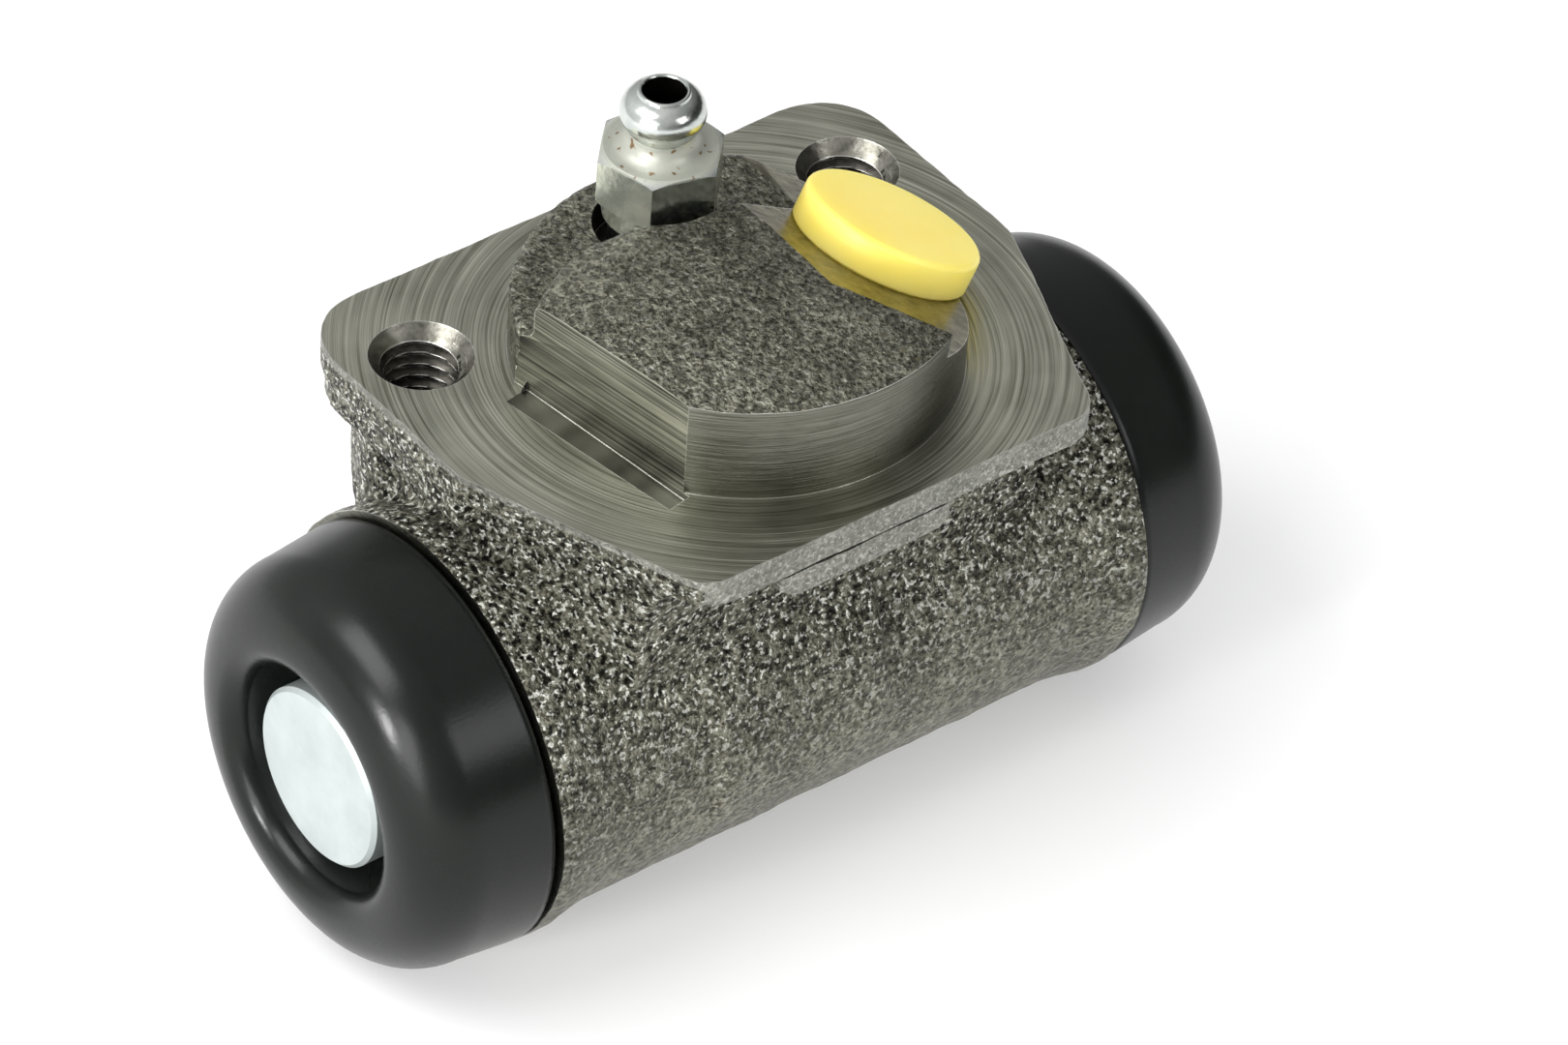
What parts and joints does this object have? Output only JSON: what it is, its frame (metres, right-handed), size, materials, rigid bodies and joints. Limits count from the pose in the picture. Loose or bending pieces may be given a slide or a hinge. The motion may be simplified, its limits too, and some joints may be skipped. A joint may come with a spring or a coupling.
{
  "type": "wheel cylinder",
  "caption": "Drum brake wheel cylinder: cast body with mounting flange and spigot, opposed sprung pistons under rubber boots, bleed screw and plugged inlet port.",
  "frame": {"origin": "spigot axis at the machined flange face", "axes": "+X along the bore, +Z out of the flange face towards the backing plate"},
  "size_m": [0.07, 0.0372, 0.0536],
  "materials": {
    "casting": "rough cast, machined on the flange face",
    "piston": "satin turned",
    "rubber": "satin moulded",
    "spring_steel": "drawn",
    "plated_steel": "zinc plated",
    "yellow_plastic": "moulded"
  },
  "bodies": {
    "body": {"cylinder_body": "casting", "return_spring": "spring_steel", "left_dust_boot": "rubber", "right_dust_boot": "rubber"},
    "left_piston_set": {"left_piston": "piston", "left_piston_cup": "rubber", "left_cup_expander": "plated_steel"},
    "right_piston_set": {"right_piston": "piston", "right_piston_cup": "rubber", "right_cup_expander": "plated_steel"},
    "bleed": {"bleed_screw": "plated_steel"},
    "plug": {"inlet_plug": "yellow_plastic"}
  },
  "joints": [
    {"name": "left_piston_slide", "type": "slide", "parent": "body", "child": "left_piston_set", "axis": [-1, 0, 0], "range_m": [0, 0.005], "deforming": ["return_spring", "left_dust_boot"]},
    {"name": "right_piston_slide", "type": "slide", "parent": "body", "child": "right_piston_set", "axis": [1, 0, 0], "range_m": [0, 0.005], "deforming": ["return_spring", "right_dust_boot"]},
    {"name": "bleed_screw_turn", "type": "hinge", "parent": "body", "child": "bleed", "pos_m": [0, 0.0093, 0], "axis": [0, 0, 1], "range_deg": [0, 360]},
    {"name": "inlet_plug_pull", "type": "slide", "parent": "body", "child": "plug", "axis": [0.4695, 0, 0.8829], "range_m": [0, 0.03]}
  ]
}
